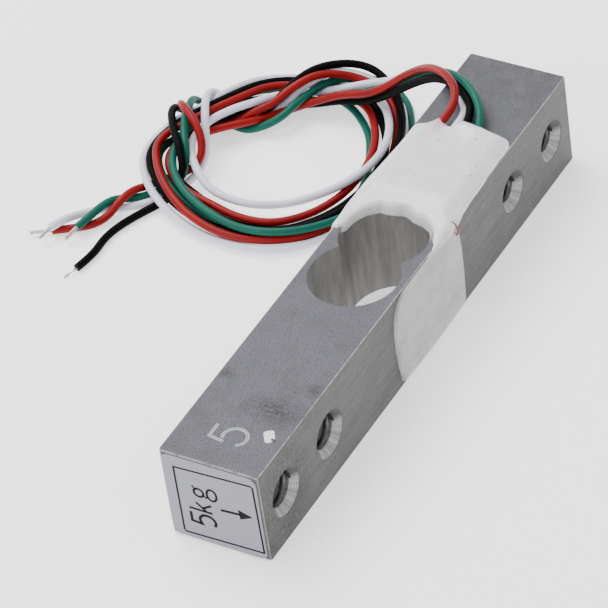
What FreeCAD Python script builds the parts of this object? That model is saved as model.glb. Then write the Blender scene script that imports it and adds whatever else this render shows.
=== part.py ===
import FreeCAD, Part

import math
import os

from FreeCAD import Vector

os.makedirs("parts", exist_ok=True)

# Single point load cell: a square aluminium bar with a double sensing hole, four strain gauges
# over its thin walls, a silicone coat over the wiring, and four coloured lead wires.
# Millimetres. X runs along the beam towards the wires, Y across it along the threaded holes,
# Z up along the sensing hole. The origin is the centre of the beam's base.

# ---------------------------------------------------------------- beam
beam_length = 75.0
beam_width = 12.7
beam_height = 12.7
end_round = 0.5
long_edge_round = 0.15

sensing_hole_dia = 11.0
sensing_hole_pitch = 7.4

end_margin = 5.0
bolt_pitch = 10.0
big_thread_core = 4.2
big_sink_dia = 6.0
small_thread_core = 3.3
small_sink_dia = 5.3

# ---------------------------------------------------------------- label and paint mark
label_margin = 0.3
label_corner = 0.9
label_thickness = 0.12
paint_length = 1.9
paint_width = 1.2
paint_thickness = 0.08
paint_inset = 6.4
paint_side = 4.3
paint_angle = 35.0

# ---------------------------------------------------------------- strain gauges
gauge_length = 5.4
gauge_width = 4.4
backing_thickness = 0.08
foil_thickness = 0.04
grid_legs = 8
grid_leg_length = 2.6
grid_leg_width = 0.14
grid_leg_pitch = 0.28
tab_length = 0.9
tab_width = 1.0
tab_clearance = 0.2
tab_solder_radius = 0.28

# ---------------------------------------------------------------- terminal board
board_gap = 2.0
board_length = 8.0
board_width = 9.4
board_thickness = 0.4
board_corner = 0.5
strip_width = 1.3
strip_thickness = 0.05
strip_margin = 0.4
solder_radius = 0.62
lead_solder_inset = 1.3
gauge_solder_inset = 1.2

# ---------------------------------------------------------------- fine enamelled wires
enamel_dia = 0.2
enamel_gap = 0.04
upper_rail_depth = 3.1
rail_gap = 0.5
lower_rail_height = 3.7
riser_pitch = 0.5
riser_inset = 1.6
solder_share = 0.4
# Per wire on a gauge face: the end of the beam its gauge is nearer to, its tab's row, its rail's height.
GAUGE_WIRES = (
    (-1, 1, beam_height - upper_rail_depth),
    (1, 1, beam_height - upper_rail_depth - rail_gap),
    (1, -1, lower_rail_height),
)
# Per face and wire: the strip it goes to, and how much higher it runs at the edge and over the strips.
BOARD_JOINTS = {
    -1: (("red", 0.0, 0.4), ("black", 0.0, 0.0), ("green", 0.0, 0.0)),
    1: (("red", 0.2, 0.3), ("black", 0.0, 0.0), ("white", 0.0, 0.0)),
}

# ---------------------------------------------------------------- silicone coat
coat_thickness = 0.55
coat_lip = 0.12
coat_label_reach = 6.9
coat_wire_reach = 9.4
coat_corner = 1.5
coat_base_gap = 0.45
coat_bare_end = 2.8
coat_strip_start = 5.0
coat_strip_width = 0.5
coat_top_end = 23.6
coat_top_corner = 1.2
lump_height = 1.5
lump_round = 0.9
lump_corner = 2.0
lump_inset = 1.2
lump_end = 24.4

# ---------------------------------------------------------------- lead wires
wire_dia = 1.0
core_dia = 0.46
lead_radius_share = 0.45
lead_rise = 0.7
exit_z = beam_height + lead_rise

# The four leads leave the coat on top, arc over the beam's edge and come down on the coil.
LEADS = {
    "red": [(20.0, 3.2, exit_z), (23.0, 3.05, exit_z), (26.0, 2.5, 14.2), (27.9, 3.6, 15.9),
            (29.5, 6.0, 16.7), (31.6, 8.7, 15.6), (33.7, 11.4, 12.8), (35.3, 14.1, 9.4),
            (36.1, 16.6, 6.6), (36.1, 19.0, 5.2), (35.7, 21.0, 4.9)],
    "white": [(20.0, 1.2, exit_z), (23.0, 1.0, exit_z), (26.0, 1.1, 13.3), (28.6, 2.7, 13.3),
              (31.0, 4.8, 13.7), (33.2, 7.3, 13.7), (35.2, 10.0, 12.0), (37.0, 12.9, 8.8),
              (38.2, 15.8, 5.6), (38.2, 18.8, 3.4), (37.7, 21.4, 2.9)],
    "black": [(20.0, -0.9, exit_z), (23.0, -0.3, exit_z), (25.8, 0.0, 13.9), (27.4, 1.5, 14.5),
              (28.6, 3.8, 14.9), (29.9, 6.4, 14.6), (31.7, 9.0, 12.6), (33.7, 11.8, 9.3),
              (35.2, 14.8, 5.6), (35.2, 17.8, 3.4), (34.6, 20.3, 2.9)],
    "green": [(20.0, -3.0, exit_z), (23.0, -2.1, exit_z), (25.8, -1.4, 13.7), (27.8, 0.2, 14.4),
              (29.3, 2.7, 15.1), (30.7, 5.4, 15.3), (32.4, 8.0, 14.0), (34.3, 10.9, 11.3),
              (36.0, 14.2, 7.0), (36.6, 17.6, 4.5), (36.2, 20.9, 3.9)],
}

# The four tails leave the coil close together and lie on the surface, three of them twisted.
TAILS = {
    "black": [(11.1, 36.2, 0.55), (8.4, 37.8, 0.55), (5.3, 39.1, 0.55), (2.6, 39.6, 0.55),
              (-0.4, 39.3, 0.55), (-3.2, 39.9, 0.55)],
    "white": [(11.7, 37.2, 0.55), (9.4, 38.9, 0.55), (8.0, 41.2, 0.55), (6.8, 43.2, 0.6),
              (5.1, 44.6, 0.9), (3.0, 45.3, 1.6), (0.9, 46.0, 1.7)],
    "green": [(12.3, 38.1, 0.55), (10.3, 40.1, 0.6), (8.7, 41.4, 1.55), (6.8, 42.1, 1.8),
              (4.7, 42.5, 1.7), (2.4, 43.2, 1.4)],
    "red": [(12.6, 39.3, 1.75), (10.4, 40.0, 1.95), (8.1, 40.4, 1.95), (6.1, 41.0, 0.9),
            (4.3, 42.2, 0.55), (3.0, 44.1, 0.55), (1.6, 46.4, 0.55)],
}

# Length of bare, tinned strands beyond each tail, and their width.
BARE_ENDS = {"red": (3.0, 0.5), "white": (2.2, 0.5), "green": (2.3, 0.55), "black": (2.6, 0.3)}

# ---------------------------------------------------------------- coil of the four leads
coil_height = 2.3
coil_edge_round = 0.9
# The ridge over the place where the leads join the ring, and the hitch that the tails make round it.
JOIN_LINE = ((36.6, 19.8), (34.0, 27.4))
join_width = 4.6
join_height = 5.4
HITCH_LINE = ((25.2, 43.4), (18.6, 36.2))
hitch_width = 4.4
hitch_height = 3.6
COIL_OUTER = [(10.0, 13.6), (16.0, 9.6), (23.0, 8.3), (30.0, 9.9), (35.6, 14.0), (39.6, 19.6),
              (40.6, 26.0), (37.4, 32.6), (31.6, 39.0), (25.4, 43.6), (19.4, 43.6), (13.2, 40.0),
              (8.8, 34.0), (7.0, 26.8), (7.4, 19.4)]
COIL_INNER = [(14.8, 20.6), (19.4, 16.6), (25.4, 15.2), (30.6, 17.6), (33.2, 22.2), (31.8, 28.4),
              (28.2, 33.4), (23.4, 36.8), (18.4, 36.4), (14.8, 32.0), (13.6, 26.0)]

# ---------------------------------------------------------------- places that follow from the sizes
face_y = beam_width / 2
wall_x = sensing_hole_pitch / 2
hole_radius = sensing_hole_dia / 2
board_start = wall_x + hole_radius + board_gap
board_end = board_start + board_length
board_top = beam_height + board_thickness
strip_top = board_top + strip_thickness
lead_solder_x = board_end - lead_solder_inset
gauge_solder_x = board_start + gauge_solder_inset
grid_half_width = (grid_leg_pitch * (grid_legs - 1) + grid_leg_width) / 2
foil_length = grid_leg_length + tab_clearance + tab_length
gauge_wire_y = face_y + backing_thickness + foil_thickness + enamel_dia / 2 + enamel_gap
STRIPS = ("green", "black", "white", "red")


def export(shape, name):
    shape.exportStep("parts/" + name + ".step")


def box(x0, x1, y0, y1, z0, z1):
    return Part.makeBox(x1 - x0, y1 - y0, z1 - z0, Vector(x0, y0, z0))


def edges_along(shape, axis):
    chosen = []
    for edge in shape.Edges:
        if isinstance(edge.Curve, Part.Line):
            direction = edge.tangentAt(edge.FirstParameter)
            if abs(abs(direction.dot(axis)) - 1.0) < 1e-6:
                chosen.append(edge)
    return chosen


def rounded_plate(length, width, thickness, corner):
    """A plate on Z = 0 centred on the origin, with its four upright edges rounded."""
    plate = box(-length / 2, length / 2, -width / 2, width / 2, 0, thickness)
    return plate.makeFillet(corner, edges_along(plate, Vector(0, 0, 1)))


# ---------------------------------------------------------------- beam

def beam_block():
    block = box(-beam_length / 2, beam_length / 2, -face_y, face_y, 0, beam_height)
    rims = [e for e in block.Edges if abs(abs(e.CenterOfMass.x) - beam_length / 2) < 1e-6]
    block = block.makeFillet(end_round, rims)
    return block.makeFillet(long_edge_round, edges_along(block, Vector(1, 0, 0)))


def sensing_hole(radius, z0, z1):
    """Two overlapping round holes side by side, which leave a thin wall over each centre."""
    left = Part.makeCylinder(radius, z1 - z0, Vector(-wall_x, 0, z0))
    right = Part.makeCylinder(radius, z1 - z0, Vector(wall_x, 0, z0))
    return left.fuse(right)


def threaded_hole(x, core_dia_mm, sink_dia):
    """Tap-drill bore right through Y with a 90 degree countersink on each face."""
    core_radius = core_dia_mm / 2
    sink_radius = sink_dia / 2
    sink_depth = sink_radius - core_radius
    front_foot = Vector(x, -face_y, beam_height / 2)
    back_foot = Vector(x, face_y, beam_height / 2)
    core = Part.makeCylinder(core_radius, beam_width, front_foot, Vector(0, 1, 0))
    front = Part.makeCone(sink_radius, core_radius, sink_depth, front_foot, Vector(0, 1, 0))
    back = Part.makeCone(sink_radius, core_radius, sink_depth, back_foot, Vector(0, -1, 0))
    return core.multiFuse([front, back])


def make_beam():
    cutters = [sensing_hole(hole_radius, 0, beam_height)]
    for offset in (end_margin, end_margin + bolt_pitch):
        cutters.append(threaded_hole(-beam_length / 2 + offset, big_thread_core, big_sink_dia))
        cutters.append(threaded_hole(beam_length / 2 - offset, small_thread_core, small_sink_dia))
    return beam_block().cut(cutters).removeSplitter()


# ---------------------------------------------------------------- label and paint mark

def make_label():
    height = beam_height - 2 * label_margin
    width = beam_width - 2 * label_margin
    sheet = rounded_plate(height, width, label_thickness, label_corner)
    sheet.rotate(Vector(0, 0, 0), Vector(0, 1, 0), -90)
    sheet.translate(Vector(-beam_length / 2, 0, beam_height / 2))
    return sheet


def make_paint_mark():
    mark = rounded_plate(paint_length, paint_width, paint_thickness, paint_width * 0.3)
    mark.rotate(Vector(0, 0, 0), Vector(0, 0, 1), paint_angle)
    mark.translate(Vector(-beam_length / 2 + paint_inset, -paint_side, beam_height))
    return mark


# ---------------------------------------------------------------- strain gauges

def on_gauge_face(shape, end, side):
    """Puts a flat gauge piece on the -Y or +Y face over a thin wall, its tabs towards mid-beam."""
    placed = shape.copy()
    placed.rotate(Vector(0, 0, 0), Vector(1, 0, 0), 90)
    if side > 0:
        placed = placed.mirror(Vector(0, 0, 0), Vector(0, 1, 0))
    if end > 0:
        placed = placed.mirror(Vector(0, 0, 0), Vector(1, 0, 0))
    placed.translate(Vector(end * wall_x, side * face_y, beam_height / 2))
    return placed


def gauge_backing():
    return rounded_plate(gauge_length, gauge_width, backing_thickness, 0.3)


def gauge_foil():
    """A zigzag foil grid of thin legs joined by end loops, with two solder tabs at its +X end."""
    z0 = backing_thickness
    z1 = backing_thickness + foil_thickness
    start = -foil_length / 2
    end = start + grid_leg_length
    tab_start = end + tab_clearance
    first = -grid_leg_pitch * (grid_legs - 1) / 2
    half = grid_leg_width / 2
    pieces = []
    for leg in range(grid_legs):
        y = first + leg * grid_leg_pitch
        pieces.append(box(start, end, y - half, y + half, z0, z1))
        if leg < grid_legs - 1:
            loop = start if leg % 2 == 0 else end - grid_leg_width
            pieces.append(box(loop, loop + grid_leg_width, y - half, y + grid_leg_pitch + half, z0, z1))
    for low in (-grid_half_width, grid_half_width - grid_leg_width):
        pieces.append(box(end, tab_start, low, low + grid_leg_width, z0, z1))
    for low in (-grid_half_width, grid_half_width - tab_width):
        pieces.append(box(tab_start, tab_start + tab_length, low, low + tab_width, z0, z1))
    return pieces[0].multiFuse(pieces[1:]).removeSplitter()


def make_gauges():
    nodes = {}
    for side, face in ((-1, "front"), (1, "back")):
        for end, name in ((-1, "label_end"), (1, "wire_end")):
            label = face + "_" + name
            nodes["gauge_film_" + label] = on_gauge_face(gauge_backing(), end, side)
            nodes["gauge_foil_" + label] = on_gauge_face(gauge_foil(), end, side)
    return nodes


# ---------------------------------------------------------------- rounded wire routes

def bends(points):
    """The bend at each inner point: where it starts, where it ends, its middle and its radius."""
    result = []
    for before, corner, after in zip(points, points[1:], points[2:]):
        to_before = (before - corner).normalize()
        to_after = (after - corner).normalize()
        half_turn = (math.pi - to_before.getAngle(to_after)) / 2
        shorter = min(before.distanceToPoint(corner), after.distanceToPoint(corner))
        setback = lead_radius_share * shorter
        radius = setback / math.tan(half_turn)
        inward = (to_before + to_after).normalize()
        middle = corner + inward * (radius / math.cos(half_turn) - radius)
        result.append((corner + to_before * setback, middle, corner + to_after * setback, radius))
    return result


def route(points):
    """Straight runs joined by tangent arcs, as one wire, with the arcs' radii."""
    vectors = [Vector(*p) for p in points]
    edges = []
    here = vectors[0]
    radii = []
    for start, middle, end, radius in bends(vectors):
        edges.append(Part.LineSegment(here, start).toShape())
        edges.append(Part.Arc(start, middle, end).toShape())
        radii.append(radius)
        here = end
    edges.append(Part.LineSegment(here, vectors[-1]).toShape())
    return Part.Wire(edges), radii


def tube(points, diameter):
    path, radii = route(points)
    first = Vector(*points[0])
    ring = Part.Wire([Part.Circle(first, Vector(*points[1]) - first, diameter / 2).toShape()])
    solid = path.makePipeShell([ring], True, False)
    expected = math.pi * diameter ** 2 / 4 * path.Length
    return solid, radii, path.Length, solid.Volume / expected


def make_cord_tubes():
    nodes = {}
    for prefix, routes in (("lead_", LEADS), ("tail_", TAILS)):
        for colour, points in routes.items():
            solid, radii, length, share = tube(points, wire_dia)
            nodes[prefix + colour] = solid
            shown = " ".join("%.1f" % r for r in radii)
            print("%s%s: length %.1f, volume/section %.4f, radii %s" % (prefix, colour, length, share, shown))
    return nodes


def make_bare_ends():
    """The stripped, tinned strands past each tail: a short rod with a rounded tip."""
    nodes = {}
    for colour, (length, width) in BARE_ENDS.items():
        last = Vector(*TAILS[colour][-1])
        direction = (last - Vector(*TAILS[colour][-2])).normalize()
        rod = Part.makeCylinder(width / 2, length - width / 2, last, direction)
        tip = Part.makeSphere(width / 2, last + direction * (length - width / 2))
        nodes["bare_end_" + colour] = rod.fuse(tip).removeSplitter()
    return nodes


# ---------------------------------------------------------------- coil

def closed_outline(points):
    curve = Part.BSplineCurve()
    curve.interpolate([Vector(x, y, 0) for x, y in points], PeriodicFlag=True)
    return Part.Face(Part.Wire([curve.toShape()]))


def ridge(start, end, width, start_height, end_height, edge_round):
    """A bar on the surface from start to end, whose top slopes between two heights."""
    along = Vector(end[0] - start[0], end[1] - start[1], 0)
    across = Vector(-along.y, along.x, 0).normalize() * (width / 2)
    foot = Vector(start[0], start[1], 0) - across
    far_top = foot + along + Vector(0, 0, end_height)
    near_top = foot + Vector(0, 0, start_height)
    profile = Part.makePolygon([foot, foot + along, far_top, near_top, foot])
    bar = Part.Face(profile).extrude(across * 2)
    top = [e for e in bar.Edges if e.CenterOfMass.z > min(start_height, end_height) - 1e-6]
    return bar.makeFillet(edge_round, top)


def make_coil(tubes):
    """Two turns of all four leads: a flat oval ring, a ridge where the leads join and the hitch."""
    ring = closed_outline(COIL_OUTER).cut(closed_outline(COIL_INNER)).extrude(Vector(0, 0, coil_height))
    upper_edges = [e for e in ring.Edges if abs(e.CenterOfMass.z - coil_height) < 1e-6]
    ring = ring.makeFillet(coil_edge_round, upper_edges)
    join = ridge(*JOIN_LINE, join_width, join_height, coil_height, coil_edge_round)
    hitch = ridge(*HITCH_LINE, hitch_width, hitch_height, hitch_height, coil_edge_round)
    return ring.multiFuse([join, hitch]).cut(tubes)


# ---------------------------------------------------------------- terminal board and solder

def lead_line_point(colour, x):
    """The point at x on the line of a lead's first run, along which its bare core reaches."""
    first, second = (Vector(*p) for p in LEADS[colour][:2])
    return first + (second - first) * ((x - first.x) / (second.x - first.x))


def make_board():
    board = rounded_plate(board_length, board_width, board_thickness, board_corner)
    board.translate(Vector((board_start + board_end) / 2, 0, beam_height))
    return board


def make_strips():
    strips = []
    for colour in STRIPS:
        y = lead_line_point(colour, lead_solder_x).y
        strips.append(box(board_start + strip_margin, board_end - strip_margin, y - strip_width / 2,
                          y + strip_width / 2, board_top, strip_top))
    return strips


def solder_dome(x, y, z, radius):
    return Part.makeSphere(radius, Vector(x, y, z), Vector(0, 0, 1), 0, 90, 360)


def make_board_solder(embedded):
    domes = []
    for colour in STRIPS:
        y = lead_line_point(colour, lead_solder_x).y
        for x in (gauge_solder_x, lead_solder_x):
            domes.append(solder_dome(x, y, strip_top, solder_radius).cut(embedded))
    return domes


def make_lead_cores():
    """The stripped end of each lead, from its insulation to the middle of its solder joint."""
    cores = []
    for colour in STRIPS:
        foot = Vector(*LEADS[colour][0])
        reach = lead_line_point(colour, lead_solder_x) - foot
        cores.append(Part.makeCylinder(core_dia / 2, reach.Length, foot, reach))
    return cores


# ---------------------------------------------------------------- fine gauge wires

def tab_place(end, row):
    """X and Z of a solder tab: end is the beam end its gauge is nearer to, row is -1 lower or 1 upper."""
    x = end * (wall_x - foil_length / 2 + tab_length / 2)
    return x, beam_height / 2 + row * (grid_half_width - tab_width / 2)


def gauge_wire(side, order):
    """A fine wire from a tab, along the gauge face, over the beam's edge and on to the board."""
    end, row, rail_z = GAUGE_WIRES[order]
    colour, edge_lift, strip_lift = BOARD_JOINTS[side][order]
    y = side * gauge_wire_y
    x, z = tab_place(end, row)
    riser_x = coat_wire_reach - riser_inset + (order - 1) * riser_pitch - enamel_dia
    top_z = beam_height + enamel_dia / 2 + enamel_gap + edge_lift
    joint_y = lead_line_point(colour, lead_solder_x).y + side * solder_radius * solder_share
    strip_z = strip_top + enamel_dia + strip_lift
    over = (riser_x + riser_pitch / 2, side * (face_y - riser_pitch), top_z)
    halfway = (board_start - riser_pitch, (over[1] + joint_y) / 2, strip_z)
    joint = (gauge_solder_x, joint_y, strip_z - strip_lift / 2)
    return tube([(x, y, z), (x, y, rail_z), (riser_x, y, rail_z), (riser_x, y, top_z), over,
                 halfway, joint], enamel_dia)[0]


def make_gauge_wires():
    nodes = {}
    for side, face in ((-1, "front"), (1, "back")):
        left, right = tab_place(-1, -1), tab_place(1, -1)
        start = Vector(left[0], side * gauge_wire_y, left[1])
        reach = right[0] - left[0] - enamel_dia
        jumper = Part.makeCylinder(enamel_dia / 2, reach, start, Vector(1, 0, 0))
        nodes["gauge_jumper_" + face] = jumper
        for order in range(len(GAUGE_WIRES)):
            nodes["gauge_wire_%s_%d" % (face, order + 1)] = gauge_wire(side, order)
    return nodes


def make_tab_solder(embedded):
    dots = []
    for side in (-1, 1):
        for end in (-1, 1):
            for row in (-1, 1):
                x, z = tab_place(end, row)
                foot = Vector(x, side * (face_y + backing_thickness + foil_thickness), z)
                dot = Part.makeSphere(tab_solder_radius, foot, Vector(0, side, 0), 0, 90, 360)
                dots.append(dot.cut(embedded))
    return dots


# ---------------------------------------------------------------- silicone coat

def side_patch(side):
    """The region coated over one gauge face: a slab with rounded corners that straddles the face."""
    reach = coat_label_reach + coat_wire_reach
    height = beam_height + coat_thickness - coat_base_gap
    slab = rounded_plate(reach, height, 3 * coat_thickness, coat_corner)
    slab.rotate(Vector(0, 0, 0), Vector(1, 0, 0), 90)
    outer = face_y + coat_thickness
    inner = outer - 3 * coat_thickness
    slab.translate(Vector((coat_wire_reach - coat_label_reach) / 2, outer if side > 0 else -inner,
                          coat_base_gap + height / 2))
    return slab


def make_coat(embedded):
    """Silicone over the board, the wires and both gauge faces, wrapped round the beam's top edges."""
    outer_y = face_y + coat_thickness
    skin = box(-beam_length / 2, beam_length / 2, -outer_y, outer_y, 0, beam_height + coat_thickness)
    shoulders = [e for e in edges_along(skin, Vector(1, 0, 0)) if e.CenterOfMass.z > beam_height]
    skin = skin.makeFillet(coat_thickness, shoulders)
    sheet = box(coat_bare_end, coat_top_end, -face_y, face_y, 0, 2 * beam_height)
    far = [e for e in edges_along(sheet, Vector(0, 0, 1)) if e.CenterOfMass.x > coat_bare_end + 1e-6]
    sheet = sheet.makeFillet(coat_top_corner, far)
    strip_y = coat_strip_width - face_y
    strip = box(-coat_strip_start, coat_bare_end, -face_y, strip_y, 0, 2 * beam_height)
    bare = box(-beam_length, coat_bare_end, 0, 2 * face_y, beam_height - coat_thickness, 2 * beam_height)
    region = sheet.multiFuse([strip, side_patch(-1), side_patch(1).cut(bare)])
    lump = box(board_start - lump_inset, lump_end, -face_y + lump_inset, face_y - lump_inset,
               beam_height - coat_thickness, beam_height + lump_height)
    lump = lump.makeFillet(lump_corner, edges_along(lump, Vector(0, 0, 1)))
    crown = [e for e in lump.Edges if abs(e.CenterOfMass.z - beam_height - lump_height) < 1e-6]
    lump = lump.makeFillet(lump_round, crown)
    hole = sensing_hole(hole_radius - coat_lip, 0, 2 * beam_height)
    full_block = box(-beam_length / 2, beam_length / 2, -face_y, face_y, 0, beam_height)
    return skin.common(region).fuse(lump).cut([full_block, hole]).cut(embedded).removeSplitter()


if __name__ == "__main__":
    cords = make_cord_tubes()
    leads = [cords["lead_" + colour] for colour in LEADS]
    gauges = make_gauges()
    gauge_wires = make_gauge_wires()
    cores = make_lead_cores()
    board = make_board()
    strips = make_strips()
    board_solder = make_board_solder(cores + list(gauge_wires.values()))
    tab_solder = make_tab_solder(list(gauge_wires.values()))
    embedded = [board] + strips + board_solder + tab_solder + cores + leads
    embedded += list(gauges.values()) + list(gauge_wires.values())

    nodes = {"beam": make_beam(), "end_label": make_label(), "paint_mark": make_paint_mark()}
    nodes.update(gauges)
    nodes["gauge_tab_solder"] = Part.makeCompound(tab_solder)
    nodes.update(gauge_wires)
    nodes["terminal_board"] = board
    nodes["board_strips"] = Part.makeCompound(strips)
    nodes["board_solder"] = Part.makeCompound(board_solder)
    nodes["lead_cores"] = Part.makeCompound(cores)
    nodes["silicone_coat"] = make_coat(embedded)
    nodes["lead_coil"] = make_coil(list(cords.values()))
    nodes.update(cords)
    nodes.update(make_bare_ends())
    for name, shape in nodes.items():
        export(shape, name)
        print(name, shape.isValid(), len(shape.Solids), round(shape.Volume, 3))
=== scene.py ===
import math

import bpy
import numpy as np
from mathutils import Matrix, Vector, noise


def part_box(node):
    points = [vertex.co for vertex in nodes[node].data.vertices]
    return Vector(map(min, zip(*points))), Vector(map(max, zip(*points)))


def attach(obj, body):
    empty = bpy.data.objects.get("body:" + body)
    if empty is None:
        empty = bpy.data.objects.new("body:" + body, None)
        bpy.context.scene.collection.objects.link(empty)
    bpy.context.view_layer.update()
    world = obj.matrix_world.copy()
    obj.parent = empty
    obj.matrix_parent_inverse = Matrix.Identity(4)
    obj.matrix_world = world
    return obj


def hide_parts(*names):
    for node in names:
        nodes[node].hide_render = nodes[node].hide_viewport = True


# A single point load cell: a square aluminium bar with a double sensing hole, a silicone coat over
# its gauges and wiring, and four thin lead wires wound into a small loose coil.
# Metres; lengths typed in millimetres are multiplied by MM.

MM = 0.001
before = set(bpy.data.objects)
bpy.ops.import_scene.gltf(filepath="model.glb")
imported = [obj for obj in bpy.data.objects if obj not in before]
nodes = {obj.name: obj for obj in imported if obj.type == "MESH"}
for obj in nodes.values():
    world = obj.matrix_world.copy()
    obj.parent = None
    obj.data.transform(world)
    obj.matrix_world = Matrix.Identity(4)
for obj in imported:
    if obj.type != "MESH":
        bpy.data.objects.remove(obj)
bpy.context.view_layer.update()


def mm_box(node):
    """The low and high corners of a node's box, in millimetres."""
    low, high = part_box(node)
    return [c / MM for c in low], [c / MM for c in high]


BEAM_HIGH = mm_box("beam")[1]
HALF_WIDTH = BEAM_HIGH[1]
HEIGHT = BEAM_HIGH[2]

# ---------------------------------------------------------------- camera


# The photo's view, as fitted to the bar's corners and hole mouths.
CAMERA_PLACE = (-0.32304, -0.21621, 0.34324)
CAMERA_RIGHT = (0.484055, -0.867188, -0.116946)
CAMERA_UP = (0.618278, 0.244378, 0.747001)
CAMERA_BACK = (-0.619211, -0.433895, 0.654456)
LENS = 263.69
SENSOR = 36.0


def make_camera():
    data = bpy.data.cameras.new("camera")
    data.sensor_width = SENSOR
    data.lens = LENS
    data.clip_start = 0.01
    data.clip_end = 20.0
    camera = bpy.data.objects.new("camera", data)
    turn = Matrix((CAMERA_RIGHT, CAMERA_UP, CAMERA_BACK)).transposed().to_4x4()
    camera.matrix_world = Matrix.Translation(CAMERA_PLACE) @ turn
    bpy.context.scene.collection.objects.link(camera)
    bpy.context.scene.camera = camera


make_camera()

# ---------------------------------------------------------------- shader helpers


class Shader:
    """A node material over millimetre object coordinates."""

    def __init__(self, name, color, roughness, metallic=0.0):
        self.material = bpy.data.materials.new(name)
        self.material.use_nodes = True
        self.tree = self.material.node_tree
        self.bsdf = self.tree.nodes["Principled BSDF"]
        self.bsdf.inputs["Base Color"].default_value = (*color, 1)
        self.bsdf.inputs["Roughness"].default_value = roughness
        self.bsdf.inputs["Metallic"].default_value = metallic
        self.material.diffuse_color = (*color, 1)
        coord = self.add("ShaderNodeTexCoord")
        scale = self.add("ShaderNodeMapping")
        scale.inputs["Scale"].default_value = (1000, 1000, 1000)
        self.link(coord.outputs["Object"], scale.inputs["Vector"])
        self.mm = scale.outputs["Vector"]

    def add(self, kind, **settings):
        node = self.tree.nodes.new(kind)
        for key, value in settings.items():
            setattr(node, key, value)
        return node

    def link(self, out, into):
        self.tree.links.new(out, into)

    def put(self, socket, value):
        if hasattr(value, "is_output"):
            self.link(value, socket)
        elif isinstance(value, tuple) and len(value) == 3 and socket.type == "RGBA":
            socket.default_value = (*value, 1)
        else:
            socket.default_value = value

    def vector(self, stretch, turn=(0, 0, 0)):
        node = self.add("ShaderNodeMapping")
        node.inputs["Scale"].default_value = stretch
        node.inputs["Rotation"].default_value = turn
        self.link(self.mm, node.inputs["Vector"])
        return node.outputs["Vector"]

    def noise(self, scale, detail=3.0, rough=0.55, vector=None):
        node = self.add("ShaderNodeTexNoise")
        node.inputs["Scale"].default_value = scale
        node.inputs["Detail"].default_value = detail
        node.inputs["Roughness"].default_value = rough
        self.link(vector or self.mm, node.inputs["Vector"])
        return node.outputs["Fac"]

    def range(self, value, low, high, to_low=0.0, to_high=1.0):
        node = self.add("ShaderNodeMapRange")
        node.clamp = True
        self.put(node.inputs["Value"], value)
        for socket, number in zip(node.inputs[1:5], (low, high, to_low, to_high)):
            socket.default_value = number
        return node.outputs["Result"]

    def math(self, operation, a, b=0.0):
        node = self.add("ShaderNodeMath", operation=operation)
        self.put(node.inputs[0], a)
        self.put(node.inputs[1], b)
        return node.outputs[0]

    def mix(self, factor, a, b, blend="MIX"):
        node = self.add("ShaderNodeMix", data_type="RGBA", blend_type=blend)
        self.put(node.inputs[0], factor)
        self.put(node.inputs[6], a)
        self.put(node.inputs[7], b)
        return node.outputs[2]

    def bump(self, height, strength, distance):
        node = self.add("ShaderNodeBump")
        node.inputs["Strength"].default_value = strength
        node.inputs["Distance"].default_value = distance * MM
        self.link(height, node.inputs["Height"])
        self.link(node.outputs["Normal"], self.bsdf.inputs["Normal"])

    def spot(self, centre, radius, edge, stretch=(1, 1, 1)):
        """1 inside a blob round centre (mm), 0 outside, fading over edge."""
        away = self.add("ShaderNodeVectorMath", operation="SUBTRACT")
        self.link(self.mm, away.inputs[0])
        away.inputs[1].default_value = centre
        scaled = self.add("ShaderNodeVectorMath", operation="MULTIPLY")
        self.link(away.outputs[0], scaled.inputs[0])
        scaled.inputs[1].default_value = stretch
        size = self.add("ShaderNodeVectorMath", operation="LENGTH")
        self.link(scaled.outputs[0], size.inputs[0])
        return self.range(size.outputs["Value"], radius, radius + edge, 1.0, 0.0)

    def axis(self, index):
        node = self.add("ShaderNodeSeparateXYZ")
        self.link(self.mm, node.inputs[0])
        return node.outputs[index]

    def facing(self, index):
        """The outward normal's part along one axis."""
        geometry = self.add("ShaderNodeNewGeometry")
        node = self.add("ShaderNodeSeparateXYZ")
        self.link(geometry.outputs["Normal"], node.inputs[0])
        return node.outputs[index]


def dress(obj, shader):
    obj.data.materials.clear()
    obj.data.materials.append(shader.material)


# ---------------------------------------------------------------- materials

# The four bolt holes: how far from the middle of the beam each end's pair is centred, half the
# distance between the two, and the radius of their countersinks.
BOLT_MIDDLE = 27.5
BOLT_HALF_PITCH = 5.0
SINK_RADIUS = 3.08


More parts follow.
